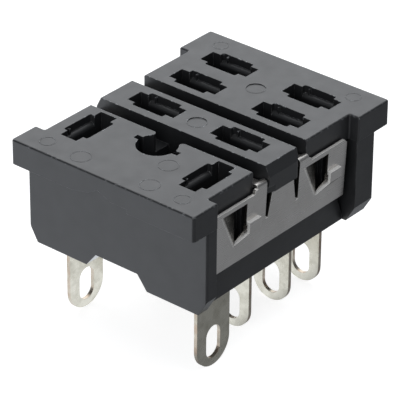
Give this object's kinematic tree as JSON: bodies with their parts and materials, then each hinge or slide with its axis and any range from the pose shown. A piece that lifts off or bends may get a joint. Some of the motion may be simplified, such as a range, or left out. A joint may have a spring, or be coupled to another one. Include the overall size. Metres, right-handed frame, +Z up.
{
  "type": "relay socket",
  "caption": "Panel-mounting plug-in relay socket with stepped blade slots on top, a spring steel clip on each side and solder lugs with eyes below.",
  "frame": {"origin": "below the middle of the cover, on the plane of the lug tips", "axes": "+Z up through the cover towards the plugged-in relay, +X along the length towards the end with the most contact slots, +Y across"},
  "size_m": [0.0296, 0.0226, 0.0204],
  "materials": {
    "cover_moulding": "black glass-filled thermoplastic, fine matt mould texture",
    "body_moulding": "black glass-filled thermoplastic, fine matt mould texture",
    "spring_steel": "plated spring steel sheet, satin",
    "tinned_copper_alloy": "tin-plated copper alloy strip, satin, with bare sheared edges",
    "spring_bronze": "bronze spring strip, satin"
  },
  "bodies": {
    "root": {"cover": "cover_moulding", "body": "body_moulding", "side_clip_1": "spring_steel", "side_clip_2": "spring_steel", "contact_terminal_1": "tinned_copper_alloy", "contact_terminal_2": "tinned_copper_alloy", "contact_terminal_3": "tinned_copper_alloy", "contact_terminal_4": "tinned_copper_alloy", "contact_terminal_5": "tinned_copper_alloy", "contact_terminal_6": "tinned_copper_alloy", "coil_terminal_7": "tinned_copper_alloy", "coil_terminal_8": "tinned_copper_alloy", "contact_spring_1": "spring_bronze", "contact_spring_2": "spring_bronze", "contact_spring_3": "spring_bronze", "contact_spring_4": "spring_bronze", "contact_spring_5": "spring_bronze", "contact_spring_6": "spring_bronze", "contact_spring_7": "spring_bronze", "contact_spring_8": "spring_bronze"}
  },
  "joints": []
}
